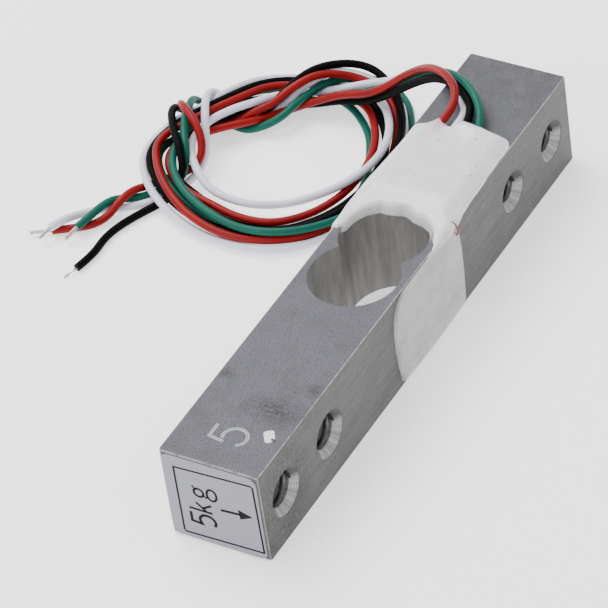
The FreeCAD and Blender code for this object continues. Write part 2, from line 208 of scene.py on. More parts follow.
def metal_shader():
    """Aluminium: fine grain on top, drawn lines along the sides, turned countersinks, a lighter wall
    in the sensing hole and the grime of handling, with painted light: the top lighter and bluer
    than the sides as painted light and shade, and a painted highlight along the edges."""
    s = Shader("blasted_aluminium", (0.12, 0.12, 0.13), 0.45, 0.4)
    # Painted light and shade: faces turned up get a lighter, bluer tone than the sides, as if lit from
    # above; the grain and drawn lines on each are real texture.
    up = s.range(s.facing(2), 0.3, 0.9)
    x, y, z = (s.axis(i) for i in range(3))
    grain = s.noise(7.0, 3.0, 0.7)
    coarse = s.noise(0.35, 3.0, 0.6)
    fine = s.noise(14.0, 2.0, 0.6)
    drag = s.noise(1.2, 4.0, 0.65, vector=s.vector((0.12, 1.6, 1.6)))
    side = s.mix(s.range(grain, 0.36, 0.64), (0.040, 0.039, 0.038), (0.105, 0.103, 0.101))
    side = s.mix(s.range(drag, 0.42, 0.66, 0.0, 0.5), side, (0.135, 0.132, 0.128))
    top = s.mix(s.range(grain, 0.38, 0.62), (0.056, 0.056, 0.065), (0.155, 0.156, 0.180))
    base = s.mix(up, side, top)
    base = s.mix(s.range(coarse, 0.42, 0.66, 0.0, 0.35), base, (0.055, 0.055, 0.058))
    dull = s.math("MULTIPLY", s.range(x, 20.0, 31.0), s.range(s.noise(0.6, 4.0, 0.7), 0.35, 0.65, 0.15, 0.6))
    base = s.mix(dull, base, (0.048, 0.048, 0.052))
    pits = s.range(s.noise(2.6, 2.0, 0.5), 0.66, 0.72, 0.0, 0.7)
    base = s.mix(pits, base, (0.02, 0.02, 0.022))
    wide = s.math("ABSOLUTE", y)
    long = s.math("ABSOLUTE", x)
    in_hole = s.math("MULTIPLY", s.range(wide, 5.45, 5.6, 1.0, 0.0), s.range(long, 9.25, 9.4, 1.0, 0.0))
    in_hole = s.math("MULTIPLY", in_hole, s.math("SUBTRACT", 1.0, up))
    drawn = s.noise(0.8, 3.0, 0.6, vector=s.vector((1.6, 1.6, 0.25)))
    bore = s.mix(s.range(drawn, 0.3, 0.7), (0.21, 0.202, 0.194), (0.315, 0.303, 0.293))
    base = s.mix(in_hole, base, bore)
    # Painted highlight: a bright band along the top's long edges and round the end, where light would catch
    # the rounded edges, broken up by noise.
    edge = s.math("MULTIPLY", s.range(wide, 6.23, 6.28), s.range(z, 12.58, 12.63))
    at_end = s.range(long, 37.2, 37.4)
    edge = s.math("MAXIMUM", edge, s.math("MULTIPLY", at_end, s.range(wide, 6.15, 6.28)))
    edge = s.math("MAXIMUM", edge, s.math("MULTIPLY", at_end, s.range(z, 12.4, 12.6)))
    edge_highlight_breakup = s.range(s.noise(1.4, 4.0, 0.7), 0.35, 0.55, 0.25, 1.0)
    base = s.mix(s.math("MULTIPLY", edge, edge_highlight_breakup), base, (0.50, 0.495, 0.49))
    sinks = s.math("MULTIPLY", hole_ring(s, x, z), s.range(wide, 6.2, 6.34, 1.0, 0.0))
    base = s.mix(sinks, base, turned_cone(s, x, z))
    dark = grime(s, x, y, z, wide)
    base = s.mix(dark, base, (0.006, 0.006, 0.007))
    s.link(base, s.bsdf.inputs["Base Color"])
    rough = s.math("ADD", s.range(grain, 0.2, 0.8, 0.38, 0.58), s.range(fine, 0.2, 0.8, -0.06, 0.06))
    rough = s.math("SUBTRACT", rough, s.math("MULTIPLY", sinks, 0.18))
    s.link(rough, s.bsdf.inputs["Roughness"])
    height = s.math("ADD", s.math("MULTIPLY", grain, 0.7), s.math("MULTIPLY", fine, 0.3))
    s.bump(height, 0.8, 0.09)
    return s


def hole_ring(s, x, z):
    """1 inside the countersink of any of the four bolt holes, which run across the beam."""
    along = s.math("ABSOLUTE", s.math("SUBTRACT", s.math("ABSOLUTE", x), BOLT_MIDDLE))
    along = s.math("SUBTRACT", along, BOLT_HALF_PITCH)
    up = s.math("SUBTRACT", z, HEIGHT / 2)
    away = s.math("SQRT", s.math("ADD", s.math("MULTIPLY", along, along), s.math("MULTIPLY", up, up)))
    return s.range(away, SINK_RADIUS, SINK_RADIUS + 0.1, 1.0, 0.0)


def turned_cone(s, x, z):
    """Bright metal with lines that run in to the hole's axis, darkened on the upper side by painted shade.
    """
    outward = s.math("SUBTRACT", s.math("ABSOLUTE", x), BOLT_MIDDLE)
    along = s.math("SUBTRACT", s.math("ABSOLUTE", outward), BOLT_HALF_PITCH)
    along = s.math("MULTIPLY", along, s.math("SIGN", outward))
    along = s.math("MULTIPLY", along, s.math("SIGN", x))
    up = s.math("SUBTRACT", z, HEIGHT / 2)
    angle = s.math("ARCTAN2", up, along)
    place = s.add("ShaderNodeCombineXYZ")
    s.put(place.inputs[0], s.math("MULTIPLY", angle, 2.2))
    streak = s.range(s.noise(1.0, 4.0, 0.7, vector=place.outputs[0]), 0.38, 0.62)
    tone = s.mix(streak, (0.20, 0.198, 0.195), (0.46, 0.455, 0.45))
    # Painted shade: the upper side of each countersink goes dark.
    upper_shade = s.range(s.math("SUBTRACT", up, s.math("MULTIPLY", along, 0.35)), -1.3, -0.2, 0.0, 0.95)
    return s.mix(upper_shade, tone, (0.048, 0.047, 0.047))


def grime(s, x, y, z, wide):
    """Dark handling marks: a smeared band on top by the load holes, and specks round the outer one."""
    speck = s.range(s.noise(4.2, 3.0, 0.6), 0.55, 0.60)
    smear = s.range(s.noise(1.1, 5.0, 0.75, vector=s.vector((1.7, 0.6, 1.0), (0, 0, 0.5))), 0.40, 0.54)
    band = s.spot((-27.0, -3.0, HEIGHT), 0.7, 2.4, (1.1, 0.6, 1.0))
    band = s.math("MAXIMUM", band, s.spot((-23.8, 5.4, HEIGHT), 0.1, 1.1, (1.0, 0.8, 1.0)))
    band = s.math("MAXIMUM", band, s.spot((-22.6, -5.4, HEIGHT), 0.1, 1.2, (0.8, 1.0, 1.0)))
    top = s.math("MULTIPLY", band, s.math("MAXIMUM", speck, s.math("MULTIPLY", smear, 0.55)))
    outer_hole = (-BOLT_MIDDLE - BOLT_HALF_PITCH, -HALF_WIDTH, HEIGHT / 2)
    ring = s.spot(outer_hole, 3.2, 2.4, (0.9, 1.0, 0.7))
    corner = s.spot((-36.6, -HALF_WIDTH, 4.0), 0.8, 2.4, (1.1, 1.0, 0.3))
    spots = s.math("MAXIMUM", speck, s.math("MULTIPLY", smear, 0.45))
    side = s.math("MULTIPLY", s.math("MAXIMUM", ring, corner), spots)
    side = s.math("MULTIPLY", side, s.range(wide, 6.3, 6.34))
    return s.math("MULTIPLY", s.math("MAXIMUM", top, side), 0.9)


def plastic_wire(name, color, roughness, spread=0.12):
    """A wire's insulation: one tone that drifts a little along it."""
    s = Shader(name, color, roughness)
    tone = s.noise(0.22, 2.0, 0.5)
    dark = tuple(c * (1 - spread) for c in color)
    light = tuple(min(1.0, c * (1 + spread)) for c in color)
    s.link(s.mix(s.range(tone, 0.3, 0.7), dark, light), s.bsdf.inputs["Base Color"])
    fine = s.noise(3.0, 3.0, 0.6)
    s.link(s.range(fine, 0.25, 0.75, roughness - 0.06, roughness + 0.08), s.bsdf.inputs["Roughness"])
    s.bump(fine, 0.12, 0.03)
    s.bsdf.inputs["Specular IOR Level"].default_value = 0.18
    return s


def plain_detail(name, color, roughness, metallic=0.0, grain=4.0, spread=0.15, bump=0.1):
    """A small inner or printed thing: one tone with fine grain."""
    s = Shader(name, color, roughness, metallic)
    fine = s.noise(grain, 3.0, 0.6)
    dark = tuple(c * (1 - spread) for c in color)
    s.link(s.mix(s.range(fine, 0.3, 0.7), dark, color), s.bsdf.inputs["Base Color"])
    s.link(s.range(fine, 0.2, 0.8, roughness - 0.05, roughness + 0.05), s.bsdf.inputs["Roughness"])
    s.bump(fine, bump, 0.02)
    return s


def silicone_shader():
    """Milky silicone, a darker grey on the sides as painted shade, with a pink streak by the red wire."""
    s = Shader("milky_silicone", (0.74, 0.73, 0.74), 0.34)
    cloud = s.noise(0.5, 3.0, 0.6)
    fine = s.noise(2.2, 3.0, 0.55)
    base = s.mix(s.range(cloud, 0.3, 0.72), (0.70, 0.70, 0.73), (0.80, 0.80, 0.83))
    # Painted shade: below the top edge the coat's sides take a darker grey than the top.
    thin = s.mix(s.range(cloud, 0.35, 0.65), (0.285, 0.28, 0.276), (0.365, 0.36, 0.356))
    base = s.mix(s.range(s.axis(2), 12.0, 13.0), thin, base)
    pink = s.spot((22.4, 3.1, 13.6), 0.15, 1.3, (0.38, 1.0, 0.5))
    streak = s.math("MULTIPLY", pink, s.range(cloud, 0.3, 0.6, 0.5, 1.0))
    base = s.mix(s.math("MULTIPLY", streak, 0.55), base, (0.60, 0.14, 0.16))
    fleck = s.range(s.noise(1.7, 1.0, 0.4), 0.735, 0.75, 0.0, 0.6)
    base = s.mix(fleck, base, (0.25, 0.24, 0.24))
    s.link(base, s.bsdf.inputs["Base Color"])
    s.link(s.range(fine, 0.3, 0.7, 0.22, 0.42), s.bsdf.inputs["Roughness"])
    s.bsdf.inputs["Subsurface Weight"].default_value = 0.25
    s.bsdf.inputs["Subsurface Radius"].default_value = (0.0012, 0.001, 0.001)
    s.bsdf.inputs["Coat Weight"].default_value = 0.3
    s.bsdf.inputs["Coat Roughness"].default_value = 0.15
    s.bump(s.math("ADD", fine, s.math("MULTIPLY", cloud, 0.6)), 0.18, 0.08)
    return s


def chipped_paint():
    """A daub of white paint with a dark chip at one corner."""
    s = Shader("white_paint", (0.80, 0.80, 0.78), 0.5)
    ragged = s.noise(4.0, 3.0, 0.6)
    chip = s.math("ADD", s.spot((-31.42, -4.95, HEIGHT), 0.05, 0.5), s.range(ragged, 0.3, 0.7, -0.3, 0.3))
    color = s.mix(s.range(ragged, 0.3, 0.7), (0.70, 0.70, 0.69), (0.84, 0.84, 0.83))
    s.link(s.mix(s.range(chip, 0.5, 0.62), color, (0.03, 0.03, 0.03)), s.bsdf.inputs["Base Color"])
    s.link(s.range(ragged, 0.2, 0.8, 0.4, 0.6), s.bsdf.inputs["Roughness"])
    s.bump(ragged, 0.3, 0.05)
    return s


METAL = metal_shader()
SILICONE = silicone_shader()
RED = plastic_wire("red_insulation", (0.22, 0.002, 0.003), 0.42)
WHITE = plastic_wire("white_insulation", (0.70, 0.70, 0.80), 0.45, 0.05)
BLACK = plastic_wire("black_insulation", (0.0016, 0.0016, 0.0016), 0.55, 0.3)
BLACK.bsdf.inputs["Specular IOR Level"].default_value = 0.05
GREEN = plastic_wire("green_insulation", (0.0, 0.088, 0.060), 0.42)
TIN = plain_detail("tinned_copper", (0.62, 0.60, 0.56), 0.28, 0.9, 6.0, 0.3)
FILM = plain_detail("gauge_film", (0.55, 0.33, 0.10), 0.35)
FOIL = plain_detail("gauge_foil", (0.42, 0.40, 0.38), 0.35, 0.8)
BOARD = plain_detail("printed_board", (0.10, 0.22, 0.10), 0.4)
STRIP = plain_detail("board_strip", (0.75, 0.55, 0.30), 0.3, 0.9)
ENAMEL = plain_detail("enamelled_wire", (0.42, 0.05, 0.03), 0.3, 0.3)
STRAY = plain_detail("stray_red_enamel", (0.30, 0.02, 0.02), 0.35)
THREAD_METAL = plain_detail("tapped_aluminium", (0.15, 0.148, 0.146), 0.3, 0.7, 6.0, 0.4)
STAMP_FLOOR = plain_detail("stamped_metal", (0.16, 0.162, 0.18), 0.4, 0.3, 6.0, 0.25)
STAMP_EDGE = plain_detail("bright_burr", (0.36, 0.365, 0.40), 0.35, 0.4, 6.0, 0.2)
LABEL = plain_detail("label_paper", (0.245, 0.245, 0.285), 0.55, 0.0, 2.0, 0.04)
INK = plain_detail("label_ink", (0.003, 0.003, 0.004), 0.6, 0.0, 5.0, 0.4)
INK.bsdf.inputs["Specular IOR Level"].default_value = 0.12
PAINT = chipped_paint()
CABLE = {"red": RED, "white": WHITE, "black": BLACK, "green": GREEN}

# CAD nodes by the start of their names.
NODE_SHADERS = (
    ("beam", METAL), ("end_label", LABEL), ("paint_mark", PAINT), ("gauge_film", FILM),
    ("gauge_foil", FOIL), ("gauge_tab_solder", TIN), ("gauge_jumper", ENAMEL), ("gauge_wire", ENAMEL),
    ("terminal_board", BOARD), ("board_strips", STRIP), ("board_solder", TIN), ("lead_cores", TIN),
    ("silicone_coat", SILICONE), ("lead_coil", WHITE), ("lead_red", RED), ("lead_white", WHITE),
    ("lead_black", BLACK), ("lead_green", GREEN), ("tail_red", RED), ("tail_white", WHITE),
    ("tail_black", BLACK), ("tail_green", GREEN), ("bare_end", TIN),
)


def dress_nodes():
    """Gives every CAD node its material."""
    for name, obj in nodes.items():
        for start, shader in NODE_SHADERS:
            if name.startswith(start):
                dress(obj, shader)
                break


dress_nodes()

# ---------------------------------------------------------------- the four lead wires

WIRE = 1.0
FLOOR_GAP = 0.02
COIL_CENTRE = (24.5, 26.0)
COIL_STEP = 18.0
SETTLE_ROUNDS = 400
# How freely a lead's outer points, and a tail's first one, are moved by the other wires. A lead's
# first points stay in the coat, and the rest of the tail stays on its route.
FIXED_LEAD_POINTS = 3
LEAD_GIVE = 0.7
TAIL_GIVE = 0.6
# Each wire's points in millimetres, read off the photo: out of the coat and down to the coil, then
# the hitch that holds the coil, then the loose tail on the floor.
LEADS = {
    "red": (
        (20, 3.2, 13.4), (23, 3.05, 13.4), (25.2, 2.2, 14.6), (27.3, 2.8, 15.2), (29, 4.2, 15.2),
        (31, 6.5, 14.4), (33, 9.3, 12.7), (34.4, 12, 10.4), (35, 14.6, 8.1), (34.9, 17.2, 5.8),
        (34.8, 19.8, 4.3),
    ),
    "white": (
        (20, 1.2, 13.4), (22.5, 1, 13.4), (26, 1.1, 13.4), (28.1, 2.6, 13.4), (30, 4.5, 13.4),
        (32, 7, 12.8), (34, 10, 11.2), (35.5, 13.2, 9.1), (36.6, 16.4, 6.6), (37.4, 19.4, 4.5),
        (37.2, 21.9, 3.5),
    ),
    "black": (
        (20, -0.9, 13.4), (23, -0.3, 13.4), (26.4, 0.4, 14), (28.4, 2.2, 14.1), (30, 4.3, 13.9),
        (31.2, 6.6, 13.2), (32.3, 9.2, 11.7), (33.1, 12, 9.5), (33.7, 15, 6.9), (34.3, 17.8, 4.5),
        (34.4, 20.6, 2.8),
    ),
    "green": (
        (20, -3, 13.4), (23, -2.1, 13.4), (25.8, -1.1, 14.1), (27.8, 0.8, 14.4), (29.4, 3.1, 14.4),
        (30.9, 5.6, 13.8), (32.4, 8.3, 12.4), (33.5, 11, 10.5), (34.1, 13.9, 8.2), (34.8, 17, 5.8),
        (35.5, 20.4, 4),
    ),
}
HITCH = {
    "white": (
        (29.5, 33.1, 0.5), (29.6, 35.4, 0.5), (30, 37.6, 0.5), (30, 39, 0.9), (29.3, 39.8, 1.9),
        (27.8, 39.8, 2.9), (26.2, 39.3, 3.3), (24.7, 38.6, 3.5), (23.3, 37.9, 3.3),
        (22.1, 37.3, 2.8), (20.8, 36.5, 2.2), (19.3, 35.8, 1.2), (17.4, 35.6, 0.6), (14.6, 36, 0.5),
    ),
    "red": (
        (26.4, 35, 0.9), (26.1, 37, 0.5), (25.9, 39.2, 0.5), (25.7, 40.9, 1), (25.4, 41.6, 2.2),
        (24.4, 41.2, 3.5), (22.8, 39.6, 4.4), (21.4, 37.9, 4.6), (20.3, 36.6, 4.3),
        (19.1, 35.6, 3.8), (17.8, 35, 3), (16.7, 35.2, 2.1), (15.9, 36.3, 1.4), (14.9, 37.9, 0.95),
    ),
    "black": (
        (29.3, 33.6, 0.6), (28.2, 35.2, 0.5), (27.2, 37.2, 0.5), (26.5, 39.2, 0.5), (26, 40.8, 0.8),
        (25.1, 41.6, 1.8), (24.1, 41.4, 2.5), (22.6, 40.8, 3), (20.9, 39.7, 3.4), (18.9, 38.2, 3.5),
        (17.5, 36.9, 3.5), (16.4, 36.1, 2.9), (15.4, 35.5, 1.9), (13.8, 35.5, 0.9),
        (12.5, 35.8, 0.55),
    ),
    "green": (
        (27, 34, 0.7), (27.3, 36, 0.5), (27.8, 38, 0.5), (28.3, 39.8, 0.7), (28.3, 41, 1.7),
        (27, 41.1, 2.8), (24.5, 39.9, 3.4), (21.8, 38.7, 3.7), (19.5, 37.3, 3.8), (18, 36.1, 3.4),
        (16.8, 35.5, 2.7), (15.8, 35.6, 1.8), (15, 36.3, 1.1), (14, 37.3, 0.6),
    ),
}
TAILS = {
    "black": (
        (11.1, 36.2, 0.55), (8.4, 37.8, 0.55), (5.3, 39.1, 0.55), (2.6, 39.6, 0.55),
        (-0.4, 39.3, 0.55), (-3.2, 39.9, 0.55),
    ),
    "white": (
        (11.7, 37.2, 0.55), (9.4, 38.9, 0.55), (8, 41.2, 0.55), (6.8, 43.2, 0.6), (5.1, 44.6, 0.9),
        (3, 45.3, 1.6), (0.9, 46, 1.7),
    ),
    "green": (
        (12.3, 38.1, 0.55), (10.3, 40.1, 0.6), (8.7, 41.4, 1.55), (6.8, 42.1, 1.8),
        (4.7, 42.5, 1.7), (2.4, 43.2, 1.4),
    ),
    "red": (
        (12.6, 39.3, 1.2), (10.4, 40, 1.95), (8.1, 40.4, 1.95), (6.1, 41, 0.9), (4.3, 42.2, 0.55),
        (3, 44.1, 0.55), (1.6, 46.4, 0.55),
    ),
}
# The coil's turns: where each wire lies on its way round, as angle, radius and height.
TURNS = {
    "white": (
        (-7, 11.3, 2.9), (5, 10.9, 1.9), (14, 10.4, 1.6), (25, 9.9, 1.6), (38, 9.2, 2.2),
        (51, 8.4, 2.4), (64, 8.4, 2.5), (80, 9.2, 2.6), (89, 10.3, 2.55), (96, 11.2, 2.3),
        (104, 12.2, 2.1), (113, 13.2, 2), (123, 13.4, 1.8), (134, 13.2, 1.6), (143, 13.4, 1.3),
        (153, 13.3, 1), (165, 12.8, 0.7), (177, 12.2, 0.5), (191, 11.7, 0.5), (203, 11.3, 0.5),
        (223, 10.8, 0.7), (240, 11.3, 1.2), (256, 11.9, 1.7), (275, 12.3, 1.9), (297, 12.7, 1.8),
        (311, 13.1, 1.8), (325, 13.7, 1.8), (334, 14.1, 1.5), (346, 14.6, 1), (360, 14.6, 0.6),
        (374, 14.4, 0.5), (385, 14.3, 0.8), (400, 14, 1.6), (412, 13.4, 2.1), (422, 13, 2.4),
        (434, 12.7, 2.6), (442, 12.7, 2.7), (449, 13.5, 2.7), (456, 15, 2.5), (463, 16.6, 2.3),
        (468, 17.4, 2), (475, 17.9, 1.8), (484, 18, 1.7), (494, 17.9, 1.6), (503, 17.6, 1.3),
        (510, 17.4, 0.9), (519, 17.4, 0.5), (528, 17.3, 0.5), (540, 17.3, 0.5), (549, 17.5, 0.5),
        (558, 17.7, 0.5), (565, 17.8, 0.5), (573, 17.6, 0.5), (580, 16.9, 0.5), (600, 15.4, 0.5),
        (622, 14.3, 0.5), (645, 13.6, 0.5), (662, 13.6, 0.6), (676, 14.4, 0.8), (688, 15.2, 1.1),
        (700, 15.4, 1.5), (715, 14.3, 2.2), (722, 13.2, 3.3), (730, 11.3, 3.9), (738, 9.6, 3.5),
        (748, 8.3, 2.4), (760, 7.8, 1.2),
    ),
    "red": (
        (-14, 10.6, 3.4), (-2, 10, 2.5), (10, 9.4, 1.8), (20, 8.8, 1.5), (34, 8.7, 0.8),
        (50, 7.7, 1.2), (65, 7.6, 1.4), (80, 8.9, 1.6), (92, 10.8, 1.4), (102, 13, 1.5),
        (112, 14.3, 1.5), (122, 14.5, 1.5), (132, 14.4, 1.4), (141, 14.2, 1.2), (149, 13.8, 1.1),
        (161, 13.3, 1.3), (173, 13.4, 1.3), (183, 13.7, 0.8), (195, 14.2, 0.5), (204, 14, 0.5),
        (220, 13.2, 0.5), (232, 12.6, 0.6), (245, 12.2, 1), (262, 11.8, 1.5), (279, 11.4, 1.5),
        (296, 11.3, 1.2), (310, 11.5, 1), (323, 12, 1), (334, 12.2, 0.9), (345, 12, 0.7),
        (360, 11.6, 0.7), (374, 11.3, 1), (385, 11.2, 1.5), (400, 11, 1.9), (412, 10.2, 2.4),
        (422, 9.6, 2.7), (434, 9.9, 2.8), (442, 10.5, 2.85), (450, 11.1, 2.85), (459, 12.1, 2.7),
        (464, 13.4, 2.8), (469, 15.1, 2.6), (474, 15.8, 2.5), (483, 15.9, 2.4), (495, 16, 2.2),
        (507, 16.1, 1.7), (518, 16.3, 1.3), (528, 16.7, 1.1), (537, 17.2, 0.9), (546, 17, 0.7),
        (557, 16.9, 0.6), (573, 16.8, 0.5), (584, 16.4, 0.5), (600, 15.2, 0.5), (622, 13.9, 0.5),
        (645, 13.2, 0.5), (662, 13.6, 0.6), (676, 14.4, 0.8), (689, 15, 1.4), (700, 15, 1.9),
        (710, 14.2, 2.4), (718, 12.9, 3.4), (728, 10.9, 4.4), (740, 9, 4), (752, 7.7, 3),
        (764, 7.3, 2.4), (780, 7.8, 2),
    ),
    "black": (
        (-12, 9.8, 2.2), (3, 9.2, 1.2), (20, 8.6, 0.55), (32, 9.8, 0.5), (45, 9.7, 0.9),
        (60, 9.6, 1.4), (75, 9.9, 1.55), (88, 11.4, 1.6), (98, 13.2, 1.4), (108, 14.6, 1.5),
        (118, 15.2, 1.5), (128, 15, 1.5), (138, 14.3, 1.4), (148, 13.1, 0.8), (157, 12.7, 0.5),
        (170, 13.4, 0.5), (185, 14.4, 0.5), (195, 15, 0.5), (205, 15.1, 0.5), (214, 14.9, 0.5),
        (230, 14.2, 0.5), (250, 13.3, 0.5), (270, 12.6, 0.7), (290, 12.4, 0.9), (302, 12.3, 0.8),
        (311, 12.1, 0.8), (322, 12.8, 0.8), (332, 13.1, 0.8), (340, 13.4, 0.6), (352, 13.6, 0.5),
        (365, 13.4, 0.5), (377, 13.1, 0.8), (388, 12.8, 1.4), (400, 12.4, 1.8), (412, 11.5, 2.3),
        (422, 11, 2.6), (434, 11.2, 2.75), (442, 11.6, 2.75), (449, 12.3, 2.75), (457, 13.5, 2.6),
        (461, 14.7, 2.6), (464, 15.7, 2.5), (468, 16.6, 2.2), (474, 17, 2), (484, 16.9, 1.9),
        (495, 16.9, 1.8), (504, 16.7, 1.4), (512, 16.4, 1), (525, 16.3, 0.5), (540, 16.2, 0.5),
        (555, 16.6, 0.5), (570, 16.2, 0.5), (590, 15.3, 0.5), (612, 14.2, 0.5), (635, 13.4, 0.5),
        (655, 13.7, 0.6), (675, 14.6, 0.9), (689, 15.3, 1.2), (697, 16.2, 1.6), (706, 16.9, 2.1),
        (716, 15.6, 3), (724, 13.6, 3.9), (733, 11.9, 4), (742, 10.5, 3.6), (750, 9.3, 2.7),
        (758, 8.4, 1.7), (766, 8.2, 1),
    ),
    "green": (
        (-12, 10.8, 2), (0, 10.3, 0.9), (12, 10.3, 0.5), (24, 10.6, 0.5), (38, 11.1, 0.6),
        (52, 10.9, 1.3), (66, 10.8, 1.55), (80, 11.3, 1.4), (88, 12.3, 0.7), (95, 13.5, 0.65),
        (102, 14.6, 1.1), (112, 15.8, 1.5), (122, 15.9, 1.5), (132, 15.6, 1.5), (142, 15, 1.2),
        (152, 14.6, 0.6), (165, 14.6, 0.5), (180, 15.2, 0.5), (192, 15.7, 0.5), (205, 15.7, 0.5),
        (220, 15.2, 0.5), (238, 13.9, 0.5), (255, 12.2, 0.5), (270, 11, 0.5), (280, 10.4, 0.5),
        (289, 10.1, 0.5), (302, 10.1, 0.5), (316, 10.4, 0.5), (332, 10.8, 0.5), (345, 11.5, 0.5),
        (360, 12.2, 0.5), (372, 12.4, 0.5), (385, 12.6, 0.5), (398, 13, 0.6), (412, 12.5, 1.1),
        (424, 12, 1.5), (440, 12.1, 1.65), (450, 12.6, 1.8), (458, 13, 2), (466, 13.2, 2.4),
        (473, 13.6, 2.6), (479, 14.4, 2.6), (488, 14.8, 2.5), (500, 15.1, 2.3), (512, 15.4, 2),
        (523, 15.5, 1.6), (532, 15.8, 1.4), (543, 16.4, 1.2), (553, 16.7, 1.1), (565, 16.4, 1),
        (576, 15.9, 0.9), (587, 15.4, 0.8), (605, 14.6, 0.7), (625, 14.1, 0.6), (643, 13.9, 0.5),
        (658, 14, 0.5), (670, 13.9, 0.5), (682, 15, 0.5), (691, 15.9, 0.5), (698, 16.7, 0.6),
        (708, 16.4, 1.2), (716, 15.2, 1.9), (724, 13, 2.85), (732, 10.9, 3.2), (741, 8.4, 2.9),
        (751, 6.4, 2.6), (764, 5.9, 2.2), (780, 6.6, 1.5),
    ),
}


def turn_points(stations):
    """Points of the coil's turns, evenly round it, between the stations that place the wire."""
    angles, radii, heights = np.array(stations, float).T
    count = round((angles[-1] - angles[0]) / COIL_STEP)
    points = []
    for i in range(count + 1):
        a = angles[0] + (angles[-1] - angles[0]) * i / count
        r = np.interp(a, angles, radii)
        x = COIL_CENTRE[0] + r * math.cos(math.radians(a))
        y = COIL_CENTRE[1] + r * math.sin(math.radians(a))
        points.append((x, y, np.interp(a, angles, heights)))
    return points


def spline_weights(count, per_span):
    """How much each control point counts at samples along a clamped quadratic B-spline."""
    spans = count - 2
    knots = np.r_[0, 0, np.arange(spans + 1), spans, spans].astype(float)
    places = np.linspace(0, spans, per_span * spans + 1)
    weights = np.zeros((len(places), count))
    for row, u in enumerate(places):
        k = min(int(u), spans - 1)
        a0, a1, b0, b1 = knots[k + 1], knots[k + 2], knots[k + 3], knots[k + 4]
        late = (u - a1) / (b0 - a1)
        first = (b0 - u) / (b0 - a0)
        last = (u - a1) / (b1 - a1)
        weights[row, k] = (1 - late) * first
        weights[row, k + 1] = (1 - late) * (1 - first) + late * (1 - last)
        weights[row, k + 2] = late * last
    return weights


def settle(routes, loose):
    """Pushes the wires apart and up off the floor, in small moves that are kept smooth."""
    gap = WIRE * 1.03
    floor = WIRE / 2 + FLOOR_GAP
    per_span = 8
    names = list(routes)
    start = [np.array(routes[n], float) for n in names]
    free = [np.array(loose[n], float)[:, None] for n in names]
    weights = [spline_weights(len(p), per_span) for p in start]
    shift = [np.zeros_like(p) for p in start]
    first = np.cumsum([0] + [len(w) for w in weights])
    owner = np.concatenate([np.full(len(w), i) for i, w in enumerate(weights)])
    along = [w @ p for w, p in zip(weights, start)]
    along = [np.linalg.norm(np.diff(s, axis=0), axis=1) for s in along]
    along = np.concatenate([np.r_[0, np.cumsum(d)] for d in along])
    for turn in range(SETTLE_ROUNDS):
        line = np.concatenate([w @ (p + d) for w, p, d in zip(weights, start, shift)])
        if turn % 12 == 0:
            near_i, near_j = near_pairs(line, owner, along, gap + 0.7)
        apart = line[near_i] - line[near_j]
        size = np.maximum(np.linalg.norm(apart, axis=1), 1e-6)
        hit = size < gap
        i, j = near_i[hit], near_j[hit]
        half = apart[hit] / size[hit, None] * ((gap - size[hit]) / 2)[:, None]
        push = np.zeros_like(line)
        count = np.zeros(len(line))
        np.add.at(push, i, half)
        np.add.at(push, j, -half)
        np.add.at(count, i, 1)
        np.add.at(count, j, 1)
        push /= np.maximum(count, 1)[:, None] ** 0.5
        low = line[:, 2] < floor
        push[low, 2] += floor - line[low, 2]
        for k, w in enumerate(weights):
            part = push[first[k]:first[k + 1]]
            touched = (np.abs(part).sum(1) > 0).astype(float)
            share = (w.T @ part) / np.maximum(w.T @ touched, 1.0)[:, None]
            shift[k] += 1.4 * share * free[k]
            bend = np.zeros_like(shift[k])
            bend[1:-1] = (shift[k][:-2] + shift[k][2:]) / 2 - shift[k][1:-1]
            shift[k] += 0.3 * bend * free[k]
    return {n: p + d for n, p, d in zip(names, start, shift)}


def near_pairs(line, owner, along, reach):
    """Pairs of samples that may touch: on two wires, or well apart on one."""
    firsts, seconds = [], []
    for low in range(0, len(line), 400):
        block = line[low:low + 400]
        gaps = ((block[:, None, :] - line[None, :, :]) ** 2).sum(2)
        i, j = np.nonzero(gaps < reach * reach)
        i = i + low
        keep = (j > i) & ((owner[i] != owner[j]) | (np.abs(along[i] - along[j]) > 5.0))
        firsts.append(i[keep])
        seconds.append(j[keep])
    return np.concatenate(firsts), np.concatenate(seconds)


def lead_routes():
    """Each wire's whole route, from the coat to the end of its tail, with the wires settled."""
    routes, loose = {}, {}
    for name in LEADS:
        parts = (LEADS[name], turn_points(TURNS[name]), HITCH[name], TAILS[name])
        routes[name] = [p for part in parts for p in part]
        lead = [0] * FIXED_LEAD_POINTS + [LEAD_GIVE] * (len(parts[0]) - FIXED_LEAD_POINTS)
        coiled = [1] * (len(parts[1]) + len(parts[2]))
        tail = [TAIL_GIVE] + [0] * (len(parts[3]) - 1)
        loose[name] = lead + coiled + tail
    return settle(routes, loose)


def nurbs(name, points, radius, shader, sides=6):
    """A round wire along a quadratic NURBS spline through the air between its control points."""
    data = bpy.data.curves.new(name, "CURVE")
    data.dimensions = "3D"
    spline = data.splines.new("NURBS")
    spline.points.add(len(points) - 1)
    for target, p in zip(spline.points, points):
        target.co = (p[0] * MM, p[1] * MM, p[2] * MM, 1)
    spline.order_u = 3
    spline.use_endpoint_u = True
    data.resolution_u = 10
    data.bevel_depth = radius * MM
    data.bevel_resolution = sides
    data.use_fill_caps = True
    obj = bpy.data.objects.new(name, data)
    bpy.context.scene.collection.objects.link(obj)
    dress(obj, shader)
    return obj


def spline_length(points):
    """Length in millimetres of the spline with these control points."""
    line = spline_weights(len(points), 40) @ np.array(points, float)
    return float(np.linalg.norm(np.diff(line, axis=0), axis=1).sum())


ROUTES = lead_routes()
CORDS = {}
for colour, route in ROUTES.items():
    wire = nurbs("wire_" + colour, route, WIRE / 2, CABLE[colour])
    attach(wire, "root")
    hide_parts("lead_" + colour, "tail_" + colour)
    CORDS[colour] = wire
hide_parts("lead_white", "tail_white", "lead_coil")

# ---------------------------------------------------------------- mesh helpers


